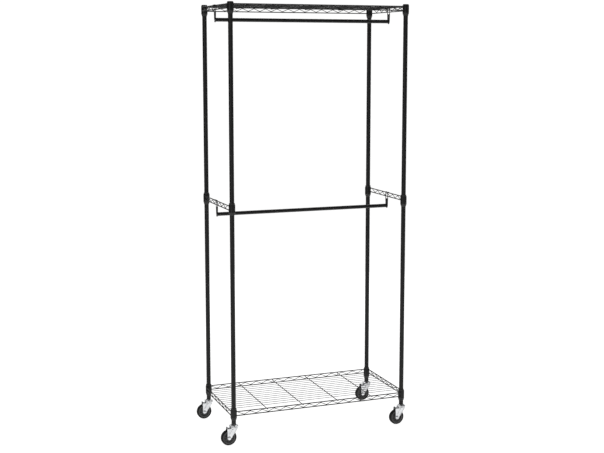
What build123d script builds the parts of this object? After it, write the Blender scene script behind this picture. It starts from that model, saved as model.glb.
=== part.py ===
from build123d import *
from math import asin, atan2, cos, degrees, hypot, pi, radians, sin
import os

# Rolling wire clothes rack, in millimetres, +Z up.
# Every piece is modelled about the centre of the four posts, standing on the floor at Z = 0.
# All casters trail toward -X, so the box of the whole rack isn't centred on the posts:
# save() moves each piece by frame_shift, which puts the origin at the box's bottom centre.
# That box ends at the wheels on the left and at the casters' upper races on the right.

# posts
post_half_width = 440.5            # post axis to the centre plane, along X
post_half_depth = 213.5            # post axis to the centre plane, along Y
post_radius = 11.0
post_wall = 1.2
post_foot = 100.0                  # lower end of the post tubes, on the caster heads
post_joint = 1090.0                # where the upper tube stands on the lower one
groove_pitch = 25.0
groove_width = 2.4
groove_depth = 0.45
tube_edge = 0.5                    # chamfer at the tubes' ends
joiner_length = 50.0
cap_thickness = 3.5
cap_stem_length = 14.0

# shelf levels: height of the upper edge wire, and how far the sleeve stands above it
bottom_level = 163.5
middle_level = 1148.0
top_level = 2073.0
sleeve_above = 14.0
top_sleeve_above = 11.0
sleeve_below = 44.0
groove_below = 15.0                # the groove that holds the sleeve, below the upper edge wire

# corner collars and split sleeves
collar_above = 6.5
collar_below = 27.5
collar_radius = 15.5
collar_bore = 13.7
sleeve_radius = 13.6
sleeve_foot_radius = 11.9
sleeve_bore = 11.05
sleeve_gap = 0.6
ridge_width = 1.2
ridge_height = 0.35

# edge wires, zigzag wires and deck wires
edge_wire = 2.5                    # radius
edge_spacing = 19.3                # upper to lower edge wire
edge_outboard = 13.0               # edge wires run this far outside the post axes
edge_stop = 9.0                    # edge wires end this far from a post axis, in the collar wall
zigzag_wire = 1.5                  # radius
zigzag_pitch = 60.3
zigzag_bend = 7.0                  # inside bend, on the wire's centre line
weld = 0.25                        # how deep welded wires sink into each other
front_waves = 14
side_waves = 6
deck_wire = 1.2                    # radius
deck_wire_count = 12
deck_wire_pitch = 30.65
cross_wire = 2.0                   # radius
cross_wire_pitch = 183.0
cross_wire_count = 4
cross_overrun = 1.0                # cross wires end this far past the edge wire's centre
deck_stop = 1.9                    # deck wires end this far short of the edge wire's centre

# hanging rods and their brackets
rod_radius = 9.0
rod_wall = 1.2
rod_drop = 66.0                    # rod axis below the edge wire that its brackets hook over
plate = 2.0
hook_bore = 2.6
hook_tail = 3.0
prong_inner = 9.0
prong_outer = 14.5
bracket_waist = 36.0               # below the edge wire, where the bracket starts to narrow
bracket_slot = 30.0                # below the edge wire, bottom of the gap between the prongs
slot_corner = 6.0
bracket_lobe = 12.5
plug_length = 18.0
screw_radius = 2.5
screw_length = 14.0
screw_head_radius = 4.8
screw_head_height = 2.6
recess_width = 0.9
recess_length = 5.0
recess_depth = 1.3

# casters
wheel_radius = 37.5
wheel_width = 20.0
trail = 26.0
axle_radius = 4.0
bush_radius = 6.0
running_gap = 0.06
tyre_inner = 28.0
tyre_shoulder = 5.0
hub_rim_width = 16.0
hub_web_width = 8.0
hub_boss_radius = 11.0
hub_rim_inner = 23.5
leg_thickness = 2.2
leg_inside = 12.0                  # fork leg's inner face to the wheel's middle plane
leg_tip_radius = 9.5
leg_front_top = 14.0               # leading edge of the leg under the crown, ahead of the swivel axis
leg_shoulder = 80.0                # height where the leading edge stops sloping
crown_top = 88.0
crown_radius = 21.2
crown_bend = 3.0
rib_height = 0.8
rib_width = 6.0
rib_foot = 18.0                    # rib's lower end above the axle
rib_head = 16.0                    # rib's upper end below the crown
rib_lean = 14.0                    # how far the rib's upper end leans toward the leading edge
rib_setback = 8.0                  # rib's middle ahead of the axle
nut_across = 13.0
nut_height = 5.0
bolt_overhang = 1.0
ball_radius = 2.4
ball_ring = 16.5
ball_count = 12
kingpin_radius = 5.0
kingpin_head_radius = 8.5
kingpin_head_height = 3.2
head_gap = 0.3                     # clearance of the kingpin head and the balls from the fork
race_radius = 22.0
race_lip = 2.0
race_gap = 1.8                     # between the fork's crown and the upper race's rim
race_thickness = 3.0
stem_radius = 5.5
stem_top = 130.0
socket_top = 134.0

edge_x = post_half_width + edge_outboard
edge_y = post_half_depth + edge_outboard
rack_top = top_level + top_sleeve_above
post_head = rack_top - cap_thickness
tube_bore = post_radius - post_wall
frame_shift = (trail + wheel_radius - race_radius) / 2
cross_drop = edge_wire + cross_wire - weld
deck_drop = cross_drop - cross_wire - deck_wire + weld / 2
zigzag_half_height = edge_spacing / 2 - edge_wire - zigzag_wire + weld
bracket_face = edge_x - hook_bore

corners = {
    "front_left": (-post_half_width, -post_half_depth),
    "front_right": (post_half_width, -post_half_depth),
    "back_left": (-post_half_width, post_half_depth),
    "back_right": (post_half_width, post_half_depth),
}
os.makedirs("parts", exist_ok=True)


def save(node, *solids):
    """Write one named piece, or one group of like pieces, moved into the rack's frame."""
    moved = [Pos(frame_shift, 0, 0) * solid for solid in solids]
    shape = moved[0] if len(moved) == 1 else Compound(children=moved)
    export_step(shape, f"parts/{node}.step")


def turned(points):
    """A solid of revolution about Z from its closed half section, as (radius, height) points."""
    outline = Polyline(*[(radius, 0, height) for radius, height in points], close=True)
    return revolve(make_face(outline), axis=Axis.Z).solid()


def bar(start, end, radius):
    """A straight round wire or bar from start to end."""
    direction = Vector(*end) - Vector(*start)
    section = Plane(origin=start, z_dir=direction) * Circle(radius)
    return extrude(section, amount=direction.length).solid()


def bent_wire(points, bend, radius):
    """A round wire along a route of straight runs and bends."""
    route = FilletPolyline(*points, radius=bend)
    section = Plane(origin=route @ 0, z_dir=route % 0) * Circle(radius)
    return sweep(section, path=route).solid()


def at_corner(corner, solid):
    x, y = corners[corner]
    return Pos(x, y, 0) * solid


# ---- posts ----------------------------------------------------------------------------------

def post_tube(low, high, first_groove):
    """A grooved post tube standing at the origin."""
    points = [(tube_bore, low), (post_radius - tube_edge, low), (post_radius, low + tube_edge)]
    height = first_groove
    while height < high - groove_pitch / 3:
        points.append((post_radius, height - groove_width / 2))
        points.append((post_radius - groove_depth, height - groove_width / 5))
        points.append((post_radius - groove_depth, height + groove_width / 5))
        points.append((post_radius, height + groove_width / 2))
        height += groove_pitch
    points += [(post_radius, high - tube_edge), (post_radius - tube_edge, high), (tube_bore, high)]
    return turned(points)


def make_posts():
    lower = post_tube(post_foot, post_joint, bottom_level - groove_below - groove_pitch)
    upper = post_tube(post_joint, post_head, middle_level - groove_below - groove_pitch)
    fit = tube_bore - running_gap
    half = joiner_length / 2
    joiner = turned([
        (0, post_joint - half), (fit - 1, post_joint - half), (fit, post_joint - half + 1),
        (fit, post_joint + half - 1), (fit - 1, post_joint + half), (0, post_joint + half),
    ])
    cap = turned([
        (0, post_head - cap_stem_length), (fit - 1, post_head - cap_stem_length),
        (fit, post_head - cap_stem_length + 1), (fit, post_head), (post_radius, post_head),
        (post_radius, rack_top - 1.4), (post_radius - 0.5, rack_top - 0.5),
        (post_radius - 1.6, rack_top), (0, rack_top),
    ])
    for corner in corners:
        save(f"{corner}_lower_post", at_corner(corner, lower))
        save(f"{corner}_upper_post", at_corner(corner, upper))
    save("post_joiners", *[at_corner(corner, joiner) for corner in corners])
    save("post_caps", *[at_corner(corner, cap) for corner in corners])


# ---- collars and split sleeves ---------------------------------------------------------------

def collar(level):
    low = level - collar_below
    high = level + collar_above
    return turned([
        (collar_bore, low + 0.4), (collar_bore + 0.4, low), (collar_radius - 0.5, low),
        (collar_radius, low + 0.5), (collar_radius, high - 0.5), (collar_radius - 0.5, high),
        (collar_bore + 0.4, high), (collar_bore, high - 0.4),
    ])


def sleeve_halves(level, above):
    """The two plastic halves that clip round a groove and wedge into the collar."""
    groove = level - groove_below
    shoulder = level - collar_below - 0.2
    foot = level - sleeve_below
    head = level + above
    ring = turned([
        (sleeve_bore, foot), (sleeve_foot_radius, foot),
        (sleeve_foot_radius + 1.3, foot + 4.5), (collar_radius - 0.5, foot + 10.5),
        (collar_radius, shoulder - 1.0), (collar_radius - 0.4, shoulder),
        (sleeve_radius, shoulder), (sleeve_radius, head - 2.0), (sleeve_radius - 0.9, head - 0.5),
        (sleeve_radius - 1.5, head), (sleeve_bore, head),
        (sleeve_bore, groove + ridge_width / 2 + ridge_height),
        (sleeve_bore - ridge_height, groove + ridge_width / 2),
        (sleeve_bore - ridge_height, groove - ridge_width / 2),
        (sleeve_bore, groove - ridge_width / 2 - ridge_height),
    ])
    length = head - foot + 2
    slit = Pos(0, 0, (head + foot) / 2) * Box(4 * collar_radius, sleeve_gap, length)
    return list((ring - slit).solids())


def save_collars(node, level, corner_names):
    save(node, *[at_corner(corner, collar(level)) for corner in corner_names])


def save_sleeves(node, level, above):
    halves = sleeve_halves(level, above)
    save(node, *[at_corner(corner, half) for corner in corners for half in halves])


# ---- wire shelves ----------------------------------------------------------------------------

def edge_wires_along_x(level):
    reach = post_half_width - edge_stop
    heights = (level, level - edge_spacing)
    return [bar((-reach, y, z), (reach, y, z), edge_wire) for y in (-edge_y, edge_y) for z in heights]


def edge_wires_along_y(level):
    reach = post_half_depth - edge_stop
    heights = (level, level - edge_spacing)
    return [bar((x, -reach, z), (x, reach, z), edge_wire) for x in (-edge_x, edge_x) for z in heights]


def zigzag_line(waves, level):
    """Distances along the edge and heights of a zigzag that starts and ends at the upper wire."""
    middle = level - edge_spacing / 2
    tip = zigzag_tip()
    points = []
    for step in range(2 * waves + 1):
        along = (step - waves) * zigzag_pitch / 2
        side = 1 if step % 2 == 0 else -1
        points.append((along, middle + side * tip))
    first = (points[0][0], middle + zigzag_half_height)
    last = (points[-1][0], middle + zigzag_half_height)
    return [first] + points[1:-1] + [last]


def zigzag_tip():
    """Height of the sharp corners whose rounded bends just reach the edge wires."""
    tip = zigzag_half_height
    for _ in range(20):
        slope = atan2(2 * tip, zigzag_pitch / 2)
        tip = zigzag_half_height + zigzag_bend * (1 / cos(slope) - 1)
    return tip


def zigzags_along_x(level):
    line = zigzag_line(front_waves, level)
    wires = []
    for y in (-edge_y, edge_y):
        wires.append(bent_wire([(along, y, z) for along, z in line], zigzag_bend, zigzag_wire))
    return wires


def zigzags_along_y(level):
    line = zigzag_line(side_waves, level)
    wires = []
    for x in (-edge_x, edge_x):
        wires.append(bent_wire([(x, along, z) for along, z in line], zigzag_bend, zigzag_wire))
    return wires


def deck_wires(level):
    """Thin wires that rest on the cross wires and end against the side edge wires."""
    reach = edge_x - deck_stop
    z = level - deck_drop
    first = -(deck_wire_count - 1) / 2 * deck_wire_pitch
    rows = [first + row * deck_wire_pitch for row in range(deck_wire_count)]
    return [bar((-reach, y, z), (reach, y, z), deck_wire) for y in rows]


def cross_wires(level):
    """Thick wires under the deck, welded beneath the long edge wires."""
    reach = edge_y + cross_overrun
    z = level - cross_drop
    first = -(cross_wire_count - 1) / 2 * cross_wire_pitch
    columns = [first + column * cross_wire_pitch for column in range(cross_wire_count)]
    return [bar((x, -reach, z), (x, reach, z), cross_wire) for x in columns]


def make_shelf(name, level):
    save_collars(f"{name}_shelf_collars", level, corners)
    save(f"{name}_shelf_long_edge_wires", *edge_wires_along_x(level))
    save(f"{name}_shelf_side_edge_wires", *edge_wires_along_y(level))
    save(f"{name}_shelf_long_zigzags", *zigzags_along_x(level))
    save(f"{name}_shelf_side_zigzags", *zigzags_along_y(level))
    save(f"{name}_shelf_deck_wires", *deck_wires(level))
    save(f"{name}_shelf_cross_wires", *cross_wires(level))


def make_ledges():
    """The two side ledges at mid height: a shelf's end trusses without a deck."""
    edges = edge_wires_along_y(middle_level)
    zigzags = zigzags_along_y(middle_level)
    save_collars("left_ledge_collars", middle_level, ("front_left", "back_left"))
    save_collars("right_ledge_collars", middle_level, ("front_right", "back_right"))
    save("left_ledge_edge_wires", *edges[:2])
    save("right_ledge_edge_wires", *edges[2:])
    save("left_ledge_zigzag", zigzags[0])
    save("right_ledge_zigzag", zigzags[1])


# ---- hanging rods ----------------------------------------------------------------------------

def bracket(level):
    """The right-hand bracket: a two-pronged plate that hooks over the ledge's upper wire."""
    rod_height = level - rod_drop
    waist = level - bracket_waist
    outline = Polyline(
        (prong_outer, level), (prong_outer, waist), (bracket_lobe, rod_height + 2),
        (-bracket_lobe, rod_height + 2), (-prong_outer, waist), (-prong_outer, level), close=True,
    )
    lobe = Pos(0, rod_height) * Circle(bracket_lobe)
    slot = Pos(0, level - bracket_slot / 2 + slot_corner) * RectangleRounded(
        2 * prong_inner, bracket_slot + 2 * slot_corner, slot_corner)
    flat = make_face(outline) + lobe - slot - Pos(0, rod_height) * Circle(screw_radius + 0.1)
    sheet = Plane(origin=(bracket_face - plate, 0, 0), x_dir=(0, 1, 0), z_dir=(1, 0, 0)) * flat
    body = extrude(sheet, amount=plate)
    ring = Circle(hook_bore + plate) - Circle(hook_bore)
    over = ring & (Pos(0, 20) * Rectangle(40, 40))
    tail = Pos(hook_bore + plate / 2, -hook_tail / 2) * Rectangle(plate, hook_tail)
    hook = over + tail
    width = prong_outer - prong_inner
    for start in (prong_inner, -prong_outer):
        place = Plane(origin=(edge_x, start, level), x_dir=(1, 0, 0), z_dir=(0, -1, 0))
        body += extrude(place * hook, amount=-width)
    return body.solid()


def screw(level):
    """The right-hand pan-head screw, driven from outside into the rod's plug."""
    height = level - rod_drop
    start = bracket_face
    shank = bar((start - screw_length, 0, height), (start + 0.5, 0, height), screw_radius)
    head = bar((start, 0, height), (start + screw_head_height, 0, height), screw_head_radius)
    head = fillet(head.edges().filter_by(GeomType.CIRCLE).sort_by(Axis.X)[-1], 1.2)
    recess = Box(recess_depth, recess_width, recess_length) + Box(recess_depth, recess_length, recess_width)
    place = Pos(start + screw_head_height - recess_depth / 2, 0, height)
    return (shank + head - place * recess).solid()


def rod_plug(level):
    """The right-hand plastic plug inside the rod's end."""
    height = level - rod_drop
    end = bracket_face - plate
    fit = rod_radius - rod_wall - running_gap
    body = bar((end - plug_length, 0, height), (end, 0, height), fit)
    hole = bar((end - screw_length, 0, height), (end + 1, 0, height), screw_radius)
    return (body - hole).solid()


def make_rods():
    end = bracket_face - plate
    plugs = []
    screws = []
    for name, level in (("lower", middle_level), ("upper", top_level)):
        height = level - rod_drop
        rod = bar((-end, 0, height), (end, 0, height), rod_radius)
        bore = bar((-end - 1, 0, height), (end + 1, 0, height), rod_radius - rod_wall)
        save(f"{name}_hanging_rod", (rod - bore).solid())
        for side, turn in (("right", 0), ("left", 180)):
            save(f"{name}_{side}_rod_bracket", Rot(0, 0, turn) * bracket(level))
            plugs.append(Rot(0, 0, turn) * rod_plug(level))
            screws.append(Rot(0, 0, turn) * screw(level))
    save("rod_end_plugs", *plugs)
    save("rod_screws", *screws)


# ---- casters ---------------------------------------------------------------------------------
# A caster is modelled with its swivel axis on the Z axis and its wheel trailing toward -X.

def caster_stem():
    """Grip stem, upper race and kingpin in one piece, fixed in the post."""
    head_top = crown_top - leg_thickness - head_gap
    race_seat = crown_top + head_gap + 2 * ball_radius + 0.1
    return turned([
        (0, head_top - kingpin_head_height), (kingpin_head_radius - 1.5, head_top - kingpin_head_height),
        (kingpin_head_radius, head_top - kingpin_head_height + 1.5), (kingpin_head_radius, head_top),
        (kingpin_radius, head_top), (kingpin_radius, race_seat), (race_radius - race_lip, race_seat),
        (race_radius - race_lip, crown_top + race_gap), (race_radius, crown_top + race_gap),
        (race_radius, race_seat + race_thickness / 2), (race_radius - 1.5, race_seat + race_thickness),
        (post_radius + 2, post_foot), (stem_radius, post_foot), (stem_radius, stem_top - 2),
        (stem_radius - 1, stem_top), (0, stem_top),
    ])


def caster_socket():
    fit = tube_bore - running_gap
    return turned([
        (stem_radius + running_gap, post_foot + 0.2), (fit, post_foot + 0.2),
        (fit, socket_top - 1), (fit - 1, socket_top), (stem_radius + running_gap, socket_top),
    ])


def caster_balls():
    height = crown_top + head_gap + ball_radius
    balls = []
    for index in range(ball_count):
        turn = 2 * pi * index / ball_count
        balls.append(Pos(ball_ring * cos(turn), ball_ring * sin(turn), height) * Sphere(ball_radius))
    return [ball.solid() for ball in balls]


def leg_outline():
    """Side view of a fork leg: upright trailing edge, sloping leading edge, round tip."""
    back = -trail - leg_tip_radius
    run = leg_front_top + trail
    rise = leg_shoulder - wheel_radius
    lean = atan2(rise, run) - asin(leg_tip_radius / hypot(run, rise))
    touch = (-trail + leg_tip_radius * sin(lean), wheel_radius - leg_tip_radius * cos(lean))
    lowest = (-trail, wheel_radius - leg_tip_radius)
    tip = ThreePointArc((back, wheel_radius), lowest, touch)
    front = Polyline(touch, (leg_front_top, leg_shoulder), (leg_front_top, crown_top),
                     (back, crown_top), (back, wheel_radius))
    return make_face(tip + front)


def leg_rib():
    """Outline of the rib pressed into a leg."""
    low = wheel_radius + rib_foot
    high = crown_top - rib_head
    lean = degrees(atan2(high - low, rib_lean))
    length = hypot(high - low, rib_lean)
    middle = Pos(-trail + rib_setback, (high + low) / 2)
    return middle * Rot(0, 0, lean) * SlotOverall(length + rib_width, rib_width)


def fork():
    """Pressed steel fork: round crown, two tapered legs with a pressed rib, axle holes."""
    side = Plane(origin=(0, 0, 0), x_dir=(1, 0, 0), z_dir=(0, -1, 0))
    outside = leg_inside + leg_thickness
    ceiling = crown_top - leg_thickness
    body = extrude(side * leg_outline(), amount=outside, both=True)
    bends = body.edges().filter_by(Axis.X).group_by(Axis.Z)[-1]
    body = fillet(bends, crown_bend)
    body -= Pos(0, 0, ceiling / 2) * Box(4 * wheel_radius, 2 * leg_inside, ceiling)
    body += Pos(0, 0, crown_top - leg_thickness / 2) * Cylinder(crown_radius, leg_thickness)
    root = leg_thickness / 10
    for hand in (1, -1):
        face = Plane(origin=(0, -hand * (outside - root), 0), x_dir=(1, 0, 0), z_dir=(0, -1, 0))
        body += extrude(face * leg_rib(), amount=hand * (rib_height + root))
    body -= Pos(0, 0, crown_top) * Cylinder(kingpin_radius + running_gap, 4 * leg_thickness)
    body -= Pos(-trail, 0, wheel_radius) * Rot(90, 0, 0) * Cylinder(axle_radius, 4 * outside)
    return body.solid()


def axle():
    """Hex bolt, nut and the steel bush that the wheel runs on."""
    outside = leg_inside + leg_thickness
    tip = outside + nut_height + bolt_overhang
    place = Pos(-trail, 0, wheel_radius)
    hexagon = RegularPolygon(nut_across / 2, 6, major_radius=False)
    side = Plane(origin=(-trail, -outside, wheel_radius), x_dir=(1, 0, 0), z_dir=(0, -1, 0))
    far = Plane(origin=(-trail, outside, wheel_radius), x_dir=(1, 0, 0), z_dir=(0, 1, 0))
    shank = place * Rot(90, 0, 0) * Cylinder(axle_radius, 2 * tip - 2)
    shank = Pos(0, -1, 0) * shank
    head = extrude(far * hexagon, amount=nut_height + bolt_overhang)
    bolt = shank + head
    nut = extrude(side * (hexagon - Circle(axle_radius)), amount=nut_height)
    bush = place * Rot(90, 0, 0) * (Cylinder(bush_radius, 2 * leg_inside) - Cylinder(axle_radius, 60))
    return [bolt.solid(), nut.solid(), bush.solid()]


def wheel_section(points):
    """A ring about the axle from its half section, as (radius, side) points."""
    ring = turned(points)
    return Pos(-trail, 0, wheel_radius) * Rot(90, 0, 0) * ring


def tyre():
    half = wheel_width / 2
    points = [(tyre_inner, -hub_rim_width / 2), (tyre_inner + 1.2, -half)]
    for side in (-1, 1):
        steps = range(7) if side < 0 else range(6, -1, -1)
        for step in steps:
            angle = radians(90 * step / 6)
            points.append((
                wheel_radius - tyre_shoulder + tyre_shoulder * sin(angle),
                side * (half - tyre_shoulder + tyre_shoulder * cos(angle)),
            ))
    points += [(tyre_inner + 1.2, half), (tyre_inner, hub_rim_width / 2)]
    return wheel_section(points)


def hub():
    bore = bush_radius + running_gap
    boss = leg_inside - 0.4
    rim = hub_rim_width / 2
    web = hub_web_width / 2
    return wheel_section([
        (bore, -boss), (hub_boss_radius - 2, -boss), (hub_boss_radius, -boss + 2.5),
        (hub_boss_radius + 1, -web), (hub_rim_inner - 1, -web), (hub_rim_inner, -rim),
        (tyre_inner, -rim), (tyre_inner, rim), (hub_rim_inner, rim), (hub_rim_inner - 1, web),
        (hub_boss_radius + 1, web), (hub_boss_radius, boss - 2.5), (hub_boss_radius - 2, boss),
        (bore, boss),
    ])


def make_casters():
    stem = caster_stem()
    socket = caster_socket()
    balls = caster_balls()
    save("caster_stems", *[at_corner(corner, stem) for corner in corners])
    save("caster_sockets", *[at_corner(corner, socket) for corner in corners])
    save("swivel_balls", *[at_corner(corner, ball) for corner in corners for ball in balls])
    moving = (("caster_fork", [fork()]), ("caster_axle", axle()),
              ("wheel_tyre", [tyre()]), ("wheel_hub", [hub()]))
    for corner in corners:
        for piece, solids in moving:
            save(f"{corner}_{piece}", *[at_corner(corner, solid) for solid in solids])


make_posts()
save_sleeves("bottom_sleeves", bottom_level, sleeve_above)
save_sleeves("middle_sleeves", middle_level, sleeve_above)
save_sleeves("top_sleeves", top_level, top_sleeve_above)
make_shelf("bottom", bottom_level)
make_shelf("top", top_level)
make_ledges()
make_rods()
make_casters()
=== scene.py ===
import random
from math import atan2, cos, pi, radians, sin, sqrt

import bmesh
import bpy
from mathutils import Matrix, Vector


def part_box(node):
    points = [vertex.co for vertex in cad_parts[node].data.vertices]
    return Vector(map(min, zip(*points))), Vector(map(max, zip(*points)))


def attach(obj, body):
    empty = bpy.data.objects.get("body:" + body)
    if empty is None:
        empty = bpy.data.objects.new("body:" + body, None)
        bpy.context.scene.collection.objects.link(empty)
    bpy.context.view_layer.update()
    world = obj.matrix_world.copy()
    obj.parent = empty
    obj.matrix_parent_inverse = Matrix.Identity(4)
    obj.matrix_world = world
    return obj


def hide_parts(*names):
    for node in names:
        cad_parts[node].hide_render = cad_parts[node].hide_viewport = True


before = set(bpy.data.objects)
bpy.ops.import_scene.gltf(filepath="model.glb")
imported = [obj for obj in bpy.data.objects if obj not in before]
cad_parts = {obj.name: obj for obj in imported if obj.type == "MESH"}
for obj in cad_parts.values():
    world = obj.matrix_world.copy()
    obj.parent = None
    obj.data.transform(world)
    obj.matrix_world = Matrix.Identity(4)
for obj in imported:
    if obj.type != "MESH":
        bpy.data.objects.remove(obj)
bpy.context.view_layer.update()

# Rolling wire clothes rack. Blender works in metres, and MM turns millimetres into them.
MM = 0.001
CORNERS = ("front_left", "front_right", "back_left", "back_right")
SHELVES = ("bottom", "top")
LEDGES = ("left", "right")
POWDER_COAT = "black_powder_coat"
PLASTIC = "black_plastic"
ZINC = "zinc_plate"
STEEL = "bare_steel"
TREAD = "black_tread"

# wire radii in millimetres, and how many wires a shelf has
EDGE_WIRE = 2.5
ZIGZAG_WIRE = 1.5
DECK_WIRE = 1.2
CROSS_WIRE = 2.0
DECK_WIRES = 12
CROSS_WIRES = 4
ZIGZAG_PITCH = 60.3


# ---- materials --------------------------------------------------------------------------------

class Finish:
    """One node material: it adds nodes round a Principled shader."""

    def __init__(self, name, metallic, **constants):
        self.material = bpy.data.materials.new(name)
        self.material.use_nodes = True
        self.tree = self.material.node_tree
        self.shader = self.tree.nodes["Principled BSDF"]
        self.shader.inputs["Metallic"].default_value = metallic
        for socket, value in constants.items():
            self.shader.inputs[socket.replace("_", " ")].default_value = value
        self.place = self.add("ShaderNodeTexCoord").outputs["Object"]

    def add(self, kind, **settings):
        made = self.tree.nodes.new(kind)
        for key, value in settings.items():
            setattr(made, key, value)
        return made

    def put(self, socket, value):
        if isinstance(value, bpy.types.NodeSocket):
            self.tree.links.new(value, socket)
        else:
            socket.default_value = value

    def stretched(self, scale):
        mapping = self.add("ShaderNodeMapping")
        self.put(mapping.inputs["Vector"], self.place)
        mapping.inputs["Scale"].default_value = scale
        return mapping.outputs["Vector"]

    def noise(self, scale, detail=3.0, place=None):
        made = self.add("ShaderNodeTexNoise")
        self.put(made.inputs["Vector"], place or self.place)
        made.inputs["Scale"].default_value = scale
        made.inputs["Detail"].default_value = detail
        return made.outputs["Fac"]

    def cells(self, scale, feature="F1"):
        made = self.add("ShaderNodeTexVoronoi", feature=feature)
        self.put(made.inputs["Vector"], self.place)
        made.inputs["Scale"].default_value = scale
        return made.outputs["Distance"]

    def spread(self, value, low, high, start=0.0, end=1.0):
        made = self.add("ShaderNodeMapRange")
        for socket, number in zip(made.inputs, (value, low, high, start, end)):
            self.put(socket, number)
        return made.outputs["Result"]

    def math(self, operation, first, second):
        made = self.add("ShaderNodeMath", operation=operation)
        self.put(made.inputs[0], first)
        self.put(made.inputs[1], second)
        return made.outputs[0]

    def blend(self, share, first, second):
        """A mix of two grey or coloured values, each a number, a colour or a socket."""
        made = self.add("ShaderNodeMix", data_type="RGBA")
        self.put(made.inputs["Factor"], share)
        for socket, value in ((made.inputs[6], first), (made.inputs[7], second)):
            self.put(socket, value)
        return made.outputs[2]

    def edges(self, reach, low=0.02, high=0.22):
        """1 on edges sharper than the reach, 0 on flat and gently curved faces."""
        bevel = self.add("ShaderNodeBevel", samples=4)
        bevel.inputs["Radius"].default_value = reach
        plain = self.add("ShaderNodeNewGeometry").outputs["Normal"]
        compare = self.add("ShaderNodeVectorMath", operation="DOT_PRODUCT")
        self.put(compare.inputs[0], bevel.outputs["Normal"])
        self.put(compare.inputs[1], plain)
        turned = self.math("SUBTRACT", 1.0, compare.outputs["Value"])
        return self.spread(turned, low, high)

    def bump(self, height, distance, strength, below=None):
        made = self.add("ShaderNodeBump")
        self.put(made.inputs["Height"], height)
        made.inputs["Distance"].default_value = distance
        made.inputs["Strength"].default_value = strength
        if below is not None:
            self.put(made.inputs["Normal"], below)
        return made.outputs["Normal"]

    def finish(self, colour, roughness, normal):
        self.put(self.shader.inputs["Base Color"], colour)
        self.put(self.shader.inputs["Roughness"], roughness)
        self.put(self.shader.inputs["Normal"], normal)
        return self.material


def grey(level, warmth=0.0):
    return (level * (1 + warmth), level, level * (1 - warmth), 1.0)


def powder_coat():
    """Baked black powder: orange-peel relief, cloudy gloss, thinner and shinier on edges."""
    made = Finish("powder_coated_steel", 0.0, Specular_IOR_Level=0.3)
    clouds = made.spread(made.noise(9.0, 4.0), 0.35, 0.65)
    specks = made.spread(made.noise(2600.0, 1.0), 0.62, 0.72)
    wear = made.math("MULTIPLY", made.edges(0.9 * MM), made.spread(made.noise(160.0), 0.4, 0.7))
    colour = made.blend(clouds, grey(0.005), grey(0.0085))
    colour = made.blend(made.math("MULTIPLY", specks, 0.35), colour, grey(0.05))
    colour = made.blend(made.math("MULTIPLY", wear, 0.5), colour, grey(0.085, 0.02))
    rough = made.spread(made.noise(22.0, 5.0), 0.3, 0.7, 0.4, 0.54)
    rough = made.math("SUBTRACT", rough, made.math("MULTIPLY", wear, 0.1))
    peel = made.bump(made.cells(780.0, "SMOOTH_F1"), 0.12 * MM, 0.35)
    fine = made.bump(made.noise(3400.0, 2.0), 0.04 * MM, 0.3, peel)
    return made.finish(colour, rough, fine)


def moulded_plastic(name="moulded_plastic", level=0.017, lighter=0.026):
    """Black injection-moulded nylon: fine spark texture, flow marks, rubbed edges."""
    made = Finish(name, 0.0, Specular_IOR_Level=0.4)
    flow = made.noise(1.0, 4.0, made.stretched((60.0, 60.0, 9.0)))
    wear = made.math("MULTIPLY", made.edges(0.7 * MM), made.spread(made.noise(300.0), 0.35, 0.7))
    colour = made.blend(made.spread(flow, 0.35, 0.7), grey(level), grey(lighter))
    colour = made.blend(made.math("MULTIPLY", wear, 0.45), colour, grey(0.08))
    rough = made.spread(made.noise(70.0, 4.0), 0.3, 0.7, 0.42, 0.58)
    spark = made.bump(made.noise(4200.0, 2.0), 0.05 * MM, 0.45)
    wavy = made.bump(flow, 0.15 * MM, 0.12, spark)
    return made.finish(colour, rough, wavy)


def zinc_plating():
    """Bright zinc on pressed steel: faint spangle, rolling lines, hazy patches, worn edges."""
    made = Finish("zinc_plated_steel", 1.0)
    spangle = made.spread(made.cells(260.0), 0.1, 0.9)
    haze = made.spread(made.noise(45.0, 5.0), 0.35, 0.7)
    lines = made.noise(1.0, 3.0, made.stretched((240.0, 2400.0, 120.0)))
    wear = made.edges(0.6 * MM)
    colour = made.blend(haze, (0.78, 0.79, 0.8, 1.0), (0.66, 0.67, 0.69, 1.0))
    colour = made.blend(made.math("MULTIPLY", spangle, 0.25), colour, (0.86, 0.87, 0.88, 1.0))
    colour = made.blend(made.math("MULTIPLY", wear, 0.6), colour, (0.9, 0.9, 0.9, 1.0))
    rough = made.spread(lines, 0.3, 0.7, 0.26, 0.38)
    rough = made.math("ADD", rough, made.math("MULTIPLY", haze, 0.08))
    scratch = made.bump(lines, 0.03 * MM, 0.2)
    grain = made.bump(made.noise(900.0, 3.0), 0.05 * MM, 0.15, scratch)
    return made.finish(colour, rough, grain)


def bare_steel():
    """Ground steel of the hidden joiners and the bearing balls, with a film of oil."""
    made = Finish("ground_steel", 1.0)
    film = made.spread(made.noise(120.0, 4.0), 0.35, 0.65)
    rings = made.noise(1.0, 2.0, made.stretched((150.0, 150.0, 3600.0)))
    colour = made.blend(film, (0.56, 0.57, 0.58, 1.0), (0.42, 0.41, 0.39, 1.0))
    rough = made.spread(rings, 0.3, 0.7, 0.18, 0.34)
    return made.finish(colour, rough, made.bump(rings, 0.03 * MM, 0.25))


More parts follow.
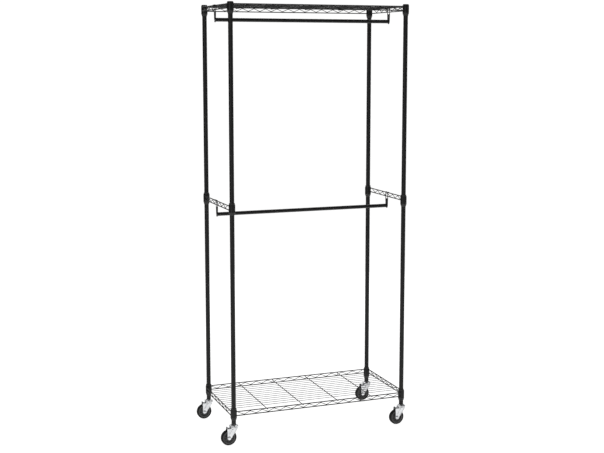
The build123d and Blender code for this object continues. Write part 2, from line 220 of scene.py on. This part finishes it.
def tread_rubber():
    """Black wheel tread: matt, dusty where it rolls, with moulding grain."""
    made = Finish("wheel_tread_rubber", 0.0, Specular_IOR_Level=0.2)
    dust = made.spread(made.noise(65.0, 6.0), 0.45, 0.75)
    scuff = made.math("MULTIPLY", made.edges(1.2 * MM), made.spread(made.noise(240.0), 0.35, 0.65))
    colour = made.blend(dust, grey(0.004), grey(0.011, 0.03))
    colour = made.blend(made.math("MULTIPLY", scuff, 0.4), colour, grey(0.07, 0.03))
    rough = made.spread(dust, 0.0, 1.0, 0.55, 0.78)
    grain = made.bump(made.noise(1900.0, 4.0), 0.12 * MM, 0.5)
    pores = made.bump(made.cells(520.0), 0.1 * MM, 0.25, grain)
    return made.finish(colour, rough, pores)


FINISHES = {
    POWDER_COAT: powder_coat(),
    PLASTIC: moulded_plastic(),
    ZINC: zinc_plating(),
    STEEL: bare_steel(),
    TREAD: tread_rubber(),
}
# The hub's plastic is made lighter grey than the other black plastic: a painted highlight that stands in
# for the sheen on the hub's rim.
HUB_PLASTIC_PAINTED_HIGHLIGHT = moulded_plastic("hub_plastic_painted_highlight", 0.045, 0.062)


def dress_cad_nodes():
    """Every carried-over CAD node gets the finish of its material slot."""
    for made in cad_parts.values():
        for socket in made.material_slots:
            socket.material = FINISHES[socket.material.name.split(".")[0]]


# ---- mesh tools -------------------------------------------------------------------------------

SAME_POINT = 1e-7
BEVEL_ANGLE = radians(48)
SHARP_ANGLE = radians(38)


def middle(node):
    low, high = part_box(node)
    return (low + high) / 2


def at(point):
    """Places a shape that is drawn in millimetres at a point in metres."""
    return Matrix.Translation(point) @ Matrix.Scale(MM, 4)


def evaluated(made):
    """The object's mesh with its modifiers applied, which are then removed."""
    graph = bpy.context.evaluated_depsgraph_get()
    mesh = bpy.data.meshes.new_from_object(made.evaluated_get(graph))
    made.modifiers.clear()
    old = made.data
    made.data = mesh
    bpy.data.meshes.remove(old)
    mesh.name = made.name


def add_piece(name, body, slot, shape, replaced=(), material=None, shell=0.0, round_edges=0.0):
    """Makes an object from a bmesh drawn in the rack's frame, and lets it ride on a body."""
    bmesh.ops.remove_doubles(shape, verts=shape.verts, dist=SAME_POINT)
    bmesh.ops.recalc_face_normals(shape, faces=shape.faces)
    mesh = bpy.data.meshes.new(name)
    shape.to_mesh(mesh)
    shape.free()
    mesh.materials.append(material or FINISHES[slot])
    made = bpy.data.objects.new(name, mesh)
    bpy.context.scene.collection.objects.link(made)
    if shell:
        made.modifiers.new("shell", "SOLIDIFY").thickness = shell
        made.modifiers["shell"].offset = 0.0
    if round_edges:
        bevel = made.modifiers.new("edges", "BEVEL")
        bevel.width = round_edges
        bevel.segments = 2
        bevel.limit_method = "ANGLE"
        bevel.angle_limit = BEVEL_ANGLE
    if made.modifiers:
        evaluated(made)
    made.data.shade_smooth()
    made.data.set_sharp_from_angle(angle=SHARP_ANGLE)
    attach(made, body)
    if replaced:
        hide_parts(*replaced)
    return made


def softened(corners, steps=4):
    """A closed outline from (across, along, rounding) corners, each rounded by that much."""
    outline = []
    for index, (across, along, rounding) in enumerate(corners):
        here = Vector((across, along))
        if rounding == 0:
            outline.append(here)
            continue
        back = Vector(corners[index - 1][:2]) - here
        ahead = Vector(corners[(index + 1) % len(corners)][:2]) - here
        start = here + back.normalized() * rounding
        end = here + ahead.normalized() * rounding
        for step in range(steps + 1):
            share = step / steps
            near = start.lerp(here, share)
            far = here.lerp(end, share)
            outline.append(near.lerp(far, share))
    return outline


def lathe(shape, outline, place, steps=72, start=0.0, sweep=2 * pi):
    """Turns a closed (radius, height) outline about the local Z axis."""
    full = sweep == 2 * pi
    columns = steps if full else steps + 1
    rings = []
    for column in range(columns):
        angle = start + sweep * column / steps
        c, s = cos(angle), sin(angle)
        rings.append([shape.verts.new(place @ Vector((r * c, r * s, h))) for r, h in outline])
    count = len(outline)
    for column in range(steps):
        here = rings[column]
        there = rings[(column + 1) % columns]
        for k in range(count):
            after = (k + 1) % count
            shape.faces.new((here[k], there[k], there[after], here[after]))
    if not full:
        shape.faces.new(rings[0])
        shape.faces.new(rings[-1][::-1])


def block(shape, place, outline, low, high):
    """A prism from a flat outline in the local XY plane, from low to high along Z."""
    bottom = [shape.verts.new(place @ Vector((x, y, low))) for x, y in outline]
    top = [shape.verts.new(place @ Vector((x, y, high))) for x, y in outline]
    shape.faces.new(bottom[::-1])
    shape.faces.new(top)
    count = len(outline)
    for k in range(count):
        after = (k + 1) % count
        shape.faces.new((bottom[k], bottom[after], top[after], top[k]))


def nugget(shape, place, dice, rough=0.06):
    """A small uneven lump of weld, as a unit ball that place stretches."""
    made = bmesh.ops.create_icosphere(shape, subdivisions=2, radius=1.0)
    for vert in made["verts"]:
        vert.co *= 1 + dice.uniform(-rough, rough)
        vert.co = place @ vert.co


# ---- casters ----------------------------------------------------------------------------------
# Drawn in millimetres about the swivel axis, with the floor at height 0 and the wheel toward -X.

TRAIL = 26.0
WHEEL_RADIUS = 37.5
SHEET = 2.2                        # thickness of the fork's sheet
LEG_MIDDLE = 12.0 + SHEET / 2      # from the wheel's centre plane to the middle of a leg's sheet
CROWN_MIDDLE = 88.0 - SHEET / 2    # height of the middle of the crown's sheet
CROWN_RADIUS = 21.2
LEG_TIP = 9.5                      # radius of the leg's round lower end
LEG_FRONT = 14.0                   # how far forward the leg reaches at LEG_FRONT_HEIGHT
LEG_FRONT_HEIGHT = 80.0
BEND = 6.0                         # bend from leg to crown
TURN_IN = 4.5                      # how far the crown's back edge is cut in
RIB_FOOT = (-TRAIL + 1.5, 53.0)    # the pressed rib's ends, as (x, height)
RIB_HEAD = (-9.0, 77.0)
RIB_HEIGHT = 1.25
RIB_REACH = 4.6
RIM_HEIGHT = 0.9                   # turned-out edges of the legs
RIM_REACH = 2.6
GROOVE_MIDDLE = 16.5               # radius of the ring of balls
GROOVE_WIDTH = 2.6
GROOVE_DEPTH = 0.85
RACE_RADIUS = 22.0
STEM_RADIUS = 5.5
PIN_RADIUS = 5.0
HUB_RIBS = 8
BOLT_RADIUS = 4.0
BOLT_HEXAGON = 13.0 / sqrt(3)      # corner radius of a hexagon 13 mm across its flats
BOLT_HEAD = 4.6                    # height of head and washer
THREAD_DEPTH = 0.45
THREAD_STEP = 0.4


def leading_edge(height):
    """Where the fork leg's sloping front edge is, at a height."""
    run = LEG_FRONT + TRAIL
    rise = LEG_FRONT_HEIGHT - WHEEL_RADIUS
    lean = atan2(rise, run) - atan2(LEG_TIP, sqrt(run * run + rise * rise - LEG_TIP ** 2))
    touch_x = -TRAIL + LEG_TIP * sin(lean)
    touch_z = WHEEL_RADIUS - LEG_TIP * cos(lean)
    if height < touch_z:
        return -TRAIL + tip_half_width(height)
    share = min(1.0, (height - touch_z) / (LEG_FRONT_HEIGHT - touch_z))
    return touch_x + (LEG_FRONT - touch_x) * share


def trailing_edge(height):
    return -TRAIL - (LEG_TIP if height > WHEEL_RADIUS else tip_half_width(height))


def tip_half_width(height):
    return sqrt(max(0.5, LEG_TIP ** 2 - (WHEEL_RADIUS - height) ** 2))


def leg_relief(x, height, back, front):
    """How far the leg's sheet stands out: a pressed rib and two turned-out edges."""
    start = Vector(RIB_FOOT)
    run = Vector(RIB_HEAD) - start
    offset = Vector((x, height)) - start
    share = max(0.0, min(1.0, offset.dot(run) / run.length_squared))
    away = (offset - run * share).length
    rib = RIB_HEIGHT * smooth_step(1 - away / RIB_REACH)
    edge = min(x - back, front - x)
    turned_out = RIM_HEIGHT * smooth_step(1 - edge / RIM_REACH)
    return rib + turned_out


def smooth_step(value):
    value = max(0.0, min(1.0, value))
    return value * value * (3 - 2 * value)


def fork_rows():
    """Rows of the pressed sheet, from the leg tip to the crown's middle: y, z, out-y, out-z."""
    tip_rises = (0.05, 0.35, 0.9, 1.9, 3.2, 4.9, 7.0, LEG_TIP)
    leg_steps, bend_steps, crown_steps = 26, 8, 5
    low = WHEEL_RADIUS - LEG_TIP
    first = WHEEL_RADIUS + 1.5
    top = CROWN_MIDDLE - BEND
    flat = LEG_MIDDLE - BEND
    rows = [(LEG_MIDDLE, low + rise, 1.0, 0.0) for rise in tip_rises]
    for k in range(leg_steps + 1):
        rows.append((LEG_MIDDLE, first + (top - first) * k / leg_steps, 1.0, 0.0))
    for k in range(1, bend_steps + 1):
        angle = pi / 2 * k / bend_steps
        rows.append((flat + BEND * cos(angle), top + BEND * sin(angle), cos(angle), sin(angle)))
    for k in range(1, crown_steps + 1):
        rows.append((flat * (1 - k / crown_steps), CROWN_MIDDLE, 0.0, 1.0))
    return rows


def row_span(y, z, up):
    """Back and front ends of one row of the sheet."""
    back = trailing_edge(z) + TURN_IN * smooth_step(up) * (1 - (y / LEG_MIDDLE) ** 2)
    disc = sqrt(CROWN_RADIUS ** 2 - y * y) - 0.4
    front = leading_edge(z) + (disc - LEG_FRONT) * smooth_step(up)
    return back, front


def fork_shell(corner, place):
    """The fork: one pressed sheet bent over the wheel, with ribbed legs and turned-out edges."""
    near_edge = [0.0, 0.02, 0.045, 0.075, 0.11, 0.16]
    inner_steps = 14
    inner = near_edge[-1]
    shares = near_edge + [inner + (1 - 2 * inner) * k / inner_steps for k in range(1, inner_steps)]
    shares += [1 - share for share in near_edge[::-1]]
    half = [(y, z, out, up, 1) for y, z, out, up in fork_rows()]
    rows = half + [(y, z, out, up, -1) for y, z, out, up, _ in half[-2::-1]]
    shape = bmesh.new()
    grid = []
    for y, z, out, up, hand in rows:
        back, front = row_span(y, z, up)
        line = []
        for share in shares:
            x = back + (front - back) * share
            relief = leg_relief(x, z, back, front)
            point = Vector((x, hand * (y + relief * out), z + 0.35 * relief * up))
            line.append(shape.verts.new(place @ point))
        grid.append(line)
    for low, high in zip(grid, grid[1:]):
        for k in range(len(shares) - 1):
            shape.faces.new((low[k], low[k + 1], high[k + 1], high[k]))
    add_piece(f"{corner}_fork_shell", f"{corner}_fork", ZINC, shape,
              [f"{corner}_caster_fork"], shell=SHEET * MM, round_edges=0.45 * MM)


def fork_race(corner, place):
    """The round lower race on the crown, with its ball groove and turned-down rim."""
    top = CROWN_MIDDLE + SHEET / 2
    groove = [(GROOVE_MIDDLE + GROOVE_WIDTH * cos(angle), top + 0.25 - GROOVE_DEPTH * sin(angle))
              for angle in (radians(22.5 * k) for k in range(9))]
    outline = softened([
        (CROWN_RADIUS - 2.0, top - 4.6, 0.4), (CROWN_RADIUS, top - 4.6, 0.6),
        (CROWN_RADIUS, top + 0.3, 1.2), (19.6, top + 0.3, 0.3),
    ])
    outline += [Vector(point) for point in groove]
    outline += softened([
        (13.0, top + 0.25, 0.3), (6.4, top + 0.25, 0.5), (6.4, top - 0.9, 0.2),
        (CROWN_RADIUS - 2.0, top - 1.6, 1.0),
    ])
    shape = bmesh.new()
    lathe(shape, outline, place, 72)
    add_piece(f"{corner}_fork_race", f"{corner}_fork", ZINC, shape)


def caster_heads(places):
    """Upper races, kingpins and the necks that plug into the posts, fixed to the frame."""
    low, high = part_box("caster_stems")
    foot = low.z / MM
    top = high.z / MM
    pin = [
        (0.0, foot, 0), (7.0, foot, 0.8), (8.5, foot + 1.2, 0.5), (8.5, foot + 3.2, 0.4),
        (PIN_RADIUS, foot + 3.2, 0.3), (PIN_RADIUS, 93.2, 0.3),
    ]
    race = [
        (RACE_RADIUS - 1.5, 93.2, 0.8), (RACE_RADIUS - 1.5, 89.9, 0.2), (RACE_RADIUS, 89.9, 0.4),
        (RACE_RADIUS, 94.4, 1.3), (19.6, 96.3, 1.0), (14.8, 97.4, 0.8), (13.4, 99.4, 0.6),
        (12.6, 99.9, 0.3),
    ]
    stem = [
        (STEM_RADIUS, 99.9, 0.0), (STEM_RADIUS, top - 2, 0.6), (STEM_RADIUS - 1, top, 0.3),
        (0.0, top, 0),
    ]
    outline = softened(pin + race + stem)
    shape = bmesh.new()
    for place in places:
        lathe(shape, outline, place, 72)
    add_piece("caster_upper_races", "frame", ZINC, shape, ["caster_stems"])


def wheel_place(corner):
    """The wheel's own frame: its local Z axis is the axle, which lies along Y."""
    return at(middle(f"{corner}_wheel_tyre")) @ Matrix.Rotation(pi / 2, 4, "X")


def tyre(corner, place):
    """The tread ring: recessed sidewalls, rounded shoulders, two grooves and a parting line."""
    half = [(28.2, 8.1, 0.2), (31.4, 8.1, 0.3), (31.9, 9.2, 0.4), (33.2, 9.9, 0.8)]
    shoulder = [(33.2 + 4.3 * sin(angle), 5.6 + 4.3 * cos(angle), 0)
                for angle in (radians(15 * k) for k in range(1, 7))]
    tread = [(37.45, 3.4, 0), (36.9, 3.05, 0), (36.9, 2.55, 0), (37.45, 2.2, 0),
             (37.5, 0.35, 0), (37.36, 0.12, 0)]
    side = half + shoulder + tread
    mirrored = [(r, -y, rounding) for r, y, rounding in side[::-1]]
    shape = bmesh.new()
    lathe(shape, softened(side + mirrored, 3), place, 96)
    add_piece(f"{corner}_tyre_ring", f"{corner}_wheel", TREAD, shape, [f"{corner}_wheel_tyre"])


def hub(corner, place):
    """The wheel's plastic centre: flanged rim, web, boss and radial ribs."""
    half = [(6.06, 11.6, 0.2), (9.2, 11.6, 0.6), (11.0, 9.6, 0.6), (11.8, 3.6, 0.9),
            (22.6, 3.6, 0.9), (23.6, 8.4, 0.4), (25.2, 9.0, 0.5), (30.6, 9.0, 0.5),
            (31.2, 8.2, 0.3), (28.0, 8.0, 0.1)]
    mirrored = [(r, -y, rounding) for r, y, rounding in half[::-1]]
    shape = bmesh.new()
    lathe(shape, softened(half + mirrored, 3), place, 96)
    rib = [(10.4, -8.6), (10.4, 8.6), (23.9, 7.4), (23.9, -7.4)]
    for index in range(HUB_RIBS):
        turn = Matrix.Rotation(2 * pi * (index + 0.5) / HUB_RIBS, 4, "Z")
        block(shape, place @ turn @ Matrix.Rotation(pi / 2, 4, "X"), rib, -0.9, 0.9)
    # The hub gets the lighter grey plastic, a painted highlight for the sheen on its rim.
    add_piece(f"{corner}_hub_centre", f"{corner}_wheel", PLASTIC, shape,
              [f"{corner}_wheel_hub"], HUB_PLASTIC_PAINTED_HIGHLIGHT)


def axle_bolt(corner, place):
    """Hex bolt, two washers, lock nut with its nylon ring, thread end and bush."""
    leg = LEG_MIDDLE + SHEET / 2 + 0.05
    face = leg + 0.9
    top = leg + BOLT_HEAD
    thread_foot = leg + 4.0
    washer = [(BOLT_RADIUS, leg, 0.1), (8.0, leg, 0.2), (8.0, face, 0.3), (BOLT_RADIUS, face, 0.1)]
    head = [(0.0, face), (BOLT_HEXAGON - 0.5, face), (BOLT_HEXAGON, face + 0.4),
            (BOLT_HEXAGON, top - 0.7), (BOLT_HEXAGON - 1.1, top), (0.0, top)]
    ring = [(3.4, leg + 4.2, 0), (5.6, leg + 4.2, 0.2), (5.2, leg + 5.2, 0.5), (3.4, leg + 5.2, 0)]
    thread = [(0.0, thread_foot)]
    thread += [(BOLT_RADIUS - THREAD_DEPTH * (k % 2), thread_foot + THREAD_STEP * k) for k in range(5)]
    thread += [(3.2, leg + 5.9), (0.0, leg + 5.9)]
    shape = bmesh.new()
    for hand in (1, -1):
        side = place @ Matrix.Scale(hand, 4, Vector((0, 0, 1)))
        lathe(shape, softened(washer, 2), side, 48)
        lathe(shape, head, side, 6, start=pi / 6)
    lathe(shape, softened(ring, 3), place, 48)
    lathe(shape, thread, place, 36)
    lathe(shape, [(BOLT_RADIUS, -leg), (6.0, -leg), (6.0, leg), (BOLT_RADIUS, leg)], place, 48)
    lathe(shape, [(0.0, -leg), (BOLT_RADIUS, -leg), (BOLT_RADIUS, leg), (0.0, leg)], place, 36)
    add_piece(f"{corner}_axle_bolt", f"{corner}_fork", ZINC, shape, [f"{corner}_caster_axle"])


def make_casters():
    places = []
    for corner in CORNERS:
        post = middle(f"{corner}_lower_post")
        place = at(Vector((post.x, post.y, 0.0)))
        places.append(place)
        fork_shell(corner, place)
        fork_race(corner, place)
        wheel = wheel_place(corner)
        tyre(corner, wheel)
        hub(corner, wheel)
        axle_bolt(corner, wheel)
    caster_heads(places)


# ---- sleeves ----------------------------------------------------------------------------------
# Outlines are (radius, height, rounding) in millimetres, with the post's surface at radius 11.

SLEEVE_BORE = 11.05
SLEEVE_WALL = 13.6                 # outer radius inside the collar
SLEEVE_FLANGE = 15.5
SLIT = 0.35 / 13                   # half the angle between two sleeve halves


def sleeve_outline(foot, head, collar_foot):
    """Half section of the split sleeve: tapered foot, three rings, collar seat, beaded head."""
    shoulder = collar_foot - 0.2
    rings = []
    for k in range(3):
        height = foot + 5.6 + 1.5 * k
        radius = 13.5 + 0.55 * k
        rings += [(radius, height, 0), (radius - 0.3, height + 0.25, 0), (radius + 0.1, height + 0.6, 0)]
    return softened([
        (SLEEVE_BORE, foot, 0.2), (11.9, foot, 0.3), (13.1, foot + 4.4, 0.6), *rings,
        (15.0, foot + 10.4, 0.4), (SLEEVE_FLANGE, foot + 11.6, 0.4),
        (SLEEVE_FLANGE, shoulder - 0.8, 0.3), (SLEEVE_FLANGE - 0.4, shoulder, 0.2),
        (SLEEVE_WALL, shoulder, 0.2), (SLEEVE_WALL, head - 3.2, 0.2),
        (SLEEVE_WALL + 0.3, head - 2.6, 0.3), (SLEEVE_WALL + 0.3, head - 1.2, 0.4),
        (12.5, head, 0.6), (SLEEVE_BORE, head, 0.2),
    ], 3)


def make_sleeves():
    """Two clip-on halves on each post at each level, with the slits between them."""
    collars = {"bottom": "bottom_shelf_collars", "middle": "left_ledge_collars",
               "top": "top_shelf_collars"}
    for level, collar in collars.items():
        node = f"{level}_sleeves"
        low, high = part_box(node)
        collar_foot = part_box(collar)[0].z / MM
        outline = sleeve_outline(low.z / MM, high.z / MM, collar_foot)
        shape = bmesh.new()
        for corner in CORNERS:
            post = middle(f"{corner}_lower_post")
            place = at(Vector((post.x, post.y, 0.0)))
            for start in (0, pi):
                lathe(shape, outline, place, 32, start + SLIT, pi - 2 * SLIT)
        add_piece(f"{level}_sleeve_halves", "frame", PLASTIC, shape, [node])


# ---- brackets ---------------------------------------------------------------------------------

PRONG_OUTER = 14.5                 # from the plate's middle line to a prong's outer edge
PRONG_INNER = 9.0
SLOT_DEPTH = 30.0
SLOT_CORNER = 6.0
WAIST = 36.0                       # where the plate starts to narrow, below the edge wire
LOBE = 12.5                        # radius of the round end that holds the rod
LOBE_SIDE = LOBE + 0.15
PLATE = 2.0
HOOK_RADIUS = 3.6                  # to the middle of the sheet that bends over the edge wire
HOOK_STEPS = 10
HOOK_TAIL = 3.0


def arc(centre, radius, start, end, steps):
    """Points on a circle in the plate's plane, angles in degrees."""
    points = []
    for step in range(steps + 1):
        angle = radians(start + (end - start) * step / steps)
        points.append((centre[0] + radius * cos(angle), centre[1] + radius * sin(angle)))
    return points


def bracket_outline(drop):
    """Plate outline as (along Y, height from the edge wire), from one prong's top to the other's."""
    shoulder = 3.0 - drop
    slot = SLOT_CORNER - SLOT_DEPTH
    inset = PRONG_INNER - SLOT_CORNER
    points = [(-PRONG_OUTER, 0.0), (-PRONG_OUTER, -WAIST), (-LOBE_SIDE, shoulder)]
    points += arc((0.0, -drop), LOBE, 180, 360, 18)
    points += [(LOBE_SIDE, shoulder), (PRONG_OUTER, -WAIST), (PRONG_OUTER, 0.0), (PRONG_INNER, 0.0)]
    points += arc((inset, slot), SLOT_CORNER, 0, -90, 6)
    points += arc((-inset, slot), SLOT_CORNER, -90, -180, 6)
    points.append((-PRONG_INNER, 0.0))
    return points


def make_bracket(level, side, hand, wire):
    """A pressed plate with two prongs that hook over the upper edge wire at wire (x, z)."""
    rod = middle(f"{level}_hanging_rod")
    drop = (wire[1] - rod.z) / MM
    place = at(Vector((wire[0], 0.0, wire[1])))
    outline = bracket_outline(drop)
    shape = bmesh.new()
    plate = [shape.verts.new(place @ Vector((-hand * HOOK_RADIUS, y, z))) for y, z in outline]
    shape.faces.new(plate)
    prong_tops = [vert for vert, (y, z) in zip(plate, outline) if z == 0.0]
    left_outer, right_outer, right_inner, left_inner = prong_tops
    for first, second in ((left_inner, left_outer), (right_outer, right_inner)):
        for k in range(1, HOOK_STEPS + 1):
            angle = pi * k / HOOK_STEPS
            x = wire[0] - hand * HOOK_RADIUS * cos(angle) * MM
            z = wire[1] + HOOK_RADIUS * sin(angle) * MM
            ends = [shape.verts.new(Vector((x, vert.co.y, z))) for vert in (first, second)]
            shape.faces.new((first, second, ends[1], ends[0]))
            first, second = ends
        tail = Vector((0, 0, HOOK_TAIL * MM))
        ends = [shape.verts.new(vert.co - tail) for vert in (first, second)]
        shape.faces.new((first, second, ends[1], ends[0]))
    add_piece(f"{level}_{side}_bracket_plate", "frame", POWDER_COAT, shape,
              [f"{level}_{side}_rod_bracket"], shell=PLATE * MM, round_edges=0.35 * MM)


def make_brackets():
    wires = {"lower": "{}_ledge_edge_wires", "upper": "top_shelf_side_edge_wires"}
    for level, pattern in wires.items():
        for side, hand in (("left", -1), ("right", 1)):
            low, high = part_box(pattern.format(side))
            radius = EDGE_WIRE * MM
            x = (high.x - radius) if hand > 0 else (low.x + radius)
            make_bracket(level, side, hand, (x, high.z - radius))


# ---- welds ------------------------------------------------------------------------------------

BEAD_SETBACK = 11.0                # from a post's axis to the bead where an edge wire meets its collar


def flat_ball(centre, size):
    """Places a unit ball as an ellipsoid of these half axes in millimetres."""
    return Matrix.Translation(centre) @ Matrix.Diagonal(Vector((*size, 1000.0)) * MM).to_4x4()


def wire_rows(node, radius, count, axis):
    """Middles of evenly spaced parallel wires, from the box of the node that holds them."""
    low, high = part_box(node)
    first = low[axis] + radius * MM
    last = high[axis] - radius * MM
    return [first + (last - first) * k / (count - 1) for k in range(count)]


def deck_welds(shelf, dice):
    """Upset spots where the deck wires, the cross wires under them and the edge wires meet."""
    shape = bmesh.new()
    rows = wire_rows(f"{shelf}_shelf_deck_wires", DECK_WIRE, DECK_WIRES, 1)
    columns = wire_rows(f"{shelf}_shelf_cross_wires", CROSS_WIRE, CROSS_WIRES, 0)
    deck_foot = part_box(f"{shelf}_shelf_deck_wires")[0].z
    side_low, side_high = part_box(f"{shelf}_shelf_side_edge_wires")
    long_low, long_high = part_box(f"{shelf}_shelf_long_edge_wires")
    radius = EDGE_WIRE * MM
    under_edge = long_high.z - 4.9 * MM
    inside = 4.7 * MM
    beside_edge = side_high.z - 3.7 * MM
    for x in columns:
        for y in rows:
            centre = Vector((x, y, deck_foot - 0.1 * MM))
            nugget(shape, flat_ball(centre, (2.6, 1.9, 0.9)), dice)
        for y in (long_low.y + radius, long_high.y - radius):
            nugget(shape, flat_ball(Vector((x, y, under_edge)), (2.9, 2.6, 0.9)), dice)
    for x in (side_low.x + inside, side_high.x - inside):
        for y in rows:
            nugget(shape, flat_ball(Vector((x, y, beside_edge)), (1.3, 1.9, 1.6)), dice)
    add_piece(f"{shelf}_shelf_deck_welds", "frame", POWDER_COAT, shape)


def collar_welds(name, collars, wires, dice):
    """Beads that run along each edge wire where it meets a corner collar."""
    shape = bmesh.new()
    radius = EDGE_WIRE * MM
    for node in wires:
        low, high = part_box(node)
        along = 0 if "long" in node else 1
        across = 1 - along
        size = (5.0, 3.1, 3.0) if along == 0 else (3.1, 5.0, 3.0)
        for collar in collars:
            post = middle(f"{collar}_lower_post")
            side = high[across] - radius if post[across] > 0 else low[across] + radius
            inward = -1 if post[along] > 0 else 1
            for z in (high.z - radius, low.z + radius):
                centre = Vector((0.0, 0.0, z))
                centre[across] = side
                centre[along] = post[along] + inward * BEAD_SETBACK * MM
                nugget(shape, flat_ball(centre, size), dice, 0.04)
    add_piece(name, "frame", POWDER_COAT, shape)


def zigzag_welds(name, nodes, dice):
    """Small beads where each bend of a zigzag touches its edge wires."""
    shape = bmesh.new()
    radius = ZIGZAG_WIRE * MM
    pitch = ZIGZAG_PITCH * MM
    for node in nodes:
        low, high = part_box(node)
        along = 0 if "long" in node else 1
        across = 1 - along
        size = (3.6, 1.9, 0.8) if along == 0 else (1.9, 3.6, 0.8)
        sides = (low[across], high[across])
        two_lines = sides[1] - sides[0] > 4 * radius
        lines = (sides[0] + radius, sides[1] - radius) if two_lines else (sum(sides) / 2,)
        count = round((high[along] - low[along]) / pitch) * 2
        for line in lines:
            for k in range(1, count):
                centre = Vector((0.0, 0.0, low.z if k % 2 else high.z))
                centre[across] = line
                centre[along] = (low[along] + high[along]) / 2 + (k - count / 2) * pitch / 2
                nugget(shape, flat_ball(centre, size), dice)
    add_piece(name, "frame", POWDER_COAT, shape)


def make_welds():
    dice = random.Random(7)
    for shelf in SHELVES:
        deck_welds(shelf, dice)
        collar_welds(f"{shelf}_shelf_collar_welds", CORNERS,
                     [f"{shelf}_shelf_long_edge_wires", f"{shelf}_shelf_side_edge_wires"], dice)
        zigzag_welds(f"{shelf}_shelf_zigzag_welds",
                     [f"{shelf}_shelf_long_zigzags", f"{shelf}_shelf_side_zigzags"], dice)
    for side in LEDGES:
        ends = [corner for corner in CORNERS if corner.endswith(side)]
        collar_welds(f"{side}_ledge_collar_welds", ends, [f"{side}_ledge_edge_wires"], dice)
        zigzag_welds(f"{side}_ledge_zigzag_welds", [f"{side}_ledge_zigzag"], dice)


# ---- studio -----------------------------------------------------------------------------------

WHITE = (1.0, 1.0, 1.0, 1.0)
FLOOR_RADIUS = 4.0
FLOOR_GLOW = 0.93                  # the floor is lit with the backdrop, so it stays white
ROOM_LIGHT = 0.08
BACKDROP_LIGHT = 1.03


def make_floor():
    """A plain pale floor that stays white under the soft light."""
    shape = bmesh.new()
    bmesh.ops.create_circle(shape, cap_ends=True, segments=64, radius=FLOOR_RADIUS)
    mesh = bpy.data.meshes.new("floor")
    shape.to_mesh(mesh)
    shape.free()
    floor = bpy.data.objects.new("floor", mesh)
    bpy.context.scene.collection.objects.link(floor)
    made = Finish("pale_floor", 0.0, Specular_IOR_Level=0.0, Emission_Strength=FLOOR_GLOW)
    made.put(made.shader.inputs["Emission Color"], WHITE)
    tone = made.blend(made.noise(0.8), grey(0.38), grey(0.42))
    mesh.materials.append(made.finish(tone, 0.9, made.bump(made.noise(40.0), 0.2 * MM, 0.1)))


def make_world():
    """A white backdrop round a dimmer room, as when a backdrop is lit on its own."""
    world = bpy.data.worlds.new("studio")
    world.use_nodes = True
    tree = world.node_tree
    background = tree.nodes["Background"]
    background.inputs["Color"].default_value = WHITE
    seen = tree.nodes.new("ShaderNodeLightPath").outputs["Is Camera Ray"]
    level = tree.nodes.new("ShaderNodeMapRange")
    tree.links.new(seen, level.inputs["Value"])
    level.inputs["To Min"].default_value = ROOM_LIGHT
    level.inputs["To Max"].default_value = BACKDROP_LIGHT
    tree.links.new(level.outputs["Result"], background.inputs["Strength"])
    bpy.context.scene.world = world


def soft_light(name, place, aim, size, power):
    """A rectangular soft box that the camera doesn't see."""
    data = bpy.data.lights.new(name, "AREA")
    data.shape = "RECTANGLE"
    data.size, data.size_y = size
    data.energy = power
    light = bpy.data.objects.new(name, data)
    bpy.context.scene.collection.objects.link(light)
    light.visible_camera = False
    light.location = place
    light.rotation_mode = "QUATERNION"
    light.rotation_quaternion = (Vector(aim) - Vector(place)).to_track_quat("-Z", "Y")


def make_lights():
    """Two tall soft boxes in front, one high behind the rack, and a lit part of the backdrop."""
    waist = (0.0, 0.0, 1.0)
    casters = (0.0, 0.0, 0.2)
    soft_light("key", (-3.4, -3.8, 2.2), waist, (1.1, 3.4), 60.0)
    soft_light("fill", (3.8, -3.0, 2.0), waist, (0.9, 3.2), 20.0)
    soft_light("overhead", (0.4, 1.8, 3.4), casters, (3.4, 2.6), 60.0)
    soft_light("backdrop", (1.4, 3.6, 1.4), casters, (3.6, 1.8), 34.0)


def make_camera():
    """A studio camera in front of the rack's left half, looking a little down."""
    focal_share = 1128.9 / 604.0
    sensor = 36.0
    yaw = radians(20.785)
    pitch = radians(7.72)
    data = bpy.data.cameras.new("camera")
    data.sensor_width = sensor
    data.lens = focal_share * sensor
    data.shift_y = -0.032
    camera = bpy.data.objects.new("camera", data)
    bpy.context.scene.collection.objects.link(camera)
    camera.location = (-1.9578, -5.1816, 1.8461)
    ahead = Vector((sin(yaw) * cos(pitch), cos(yaw) * cos(pitch), -sin(pitch)))
    camera.rotation_mode = "QUATERNION"
    camera.rotation_quaternion = ahead.to_track_quat("-Z", "Y")
    bpy.context.scene.camera = camera


dress_cad_nodes()
make_casters()
make_sleeves()
make_brackets()
make_welds()
make_floor()
make_world()
make_lights()
make_camera()
bpy.context.scene.view_settings.view_transform = "Standard"
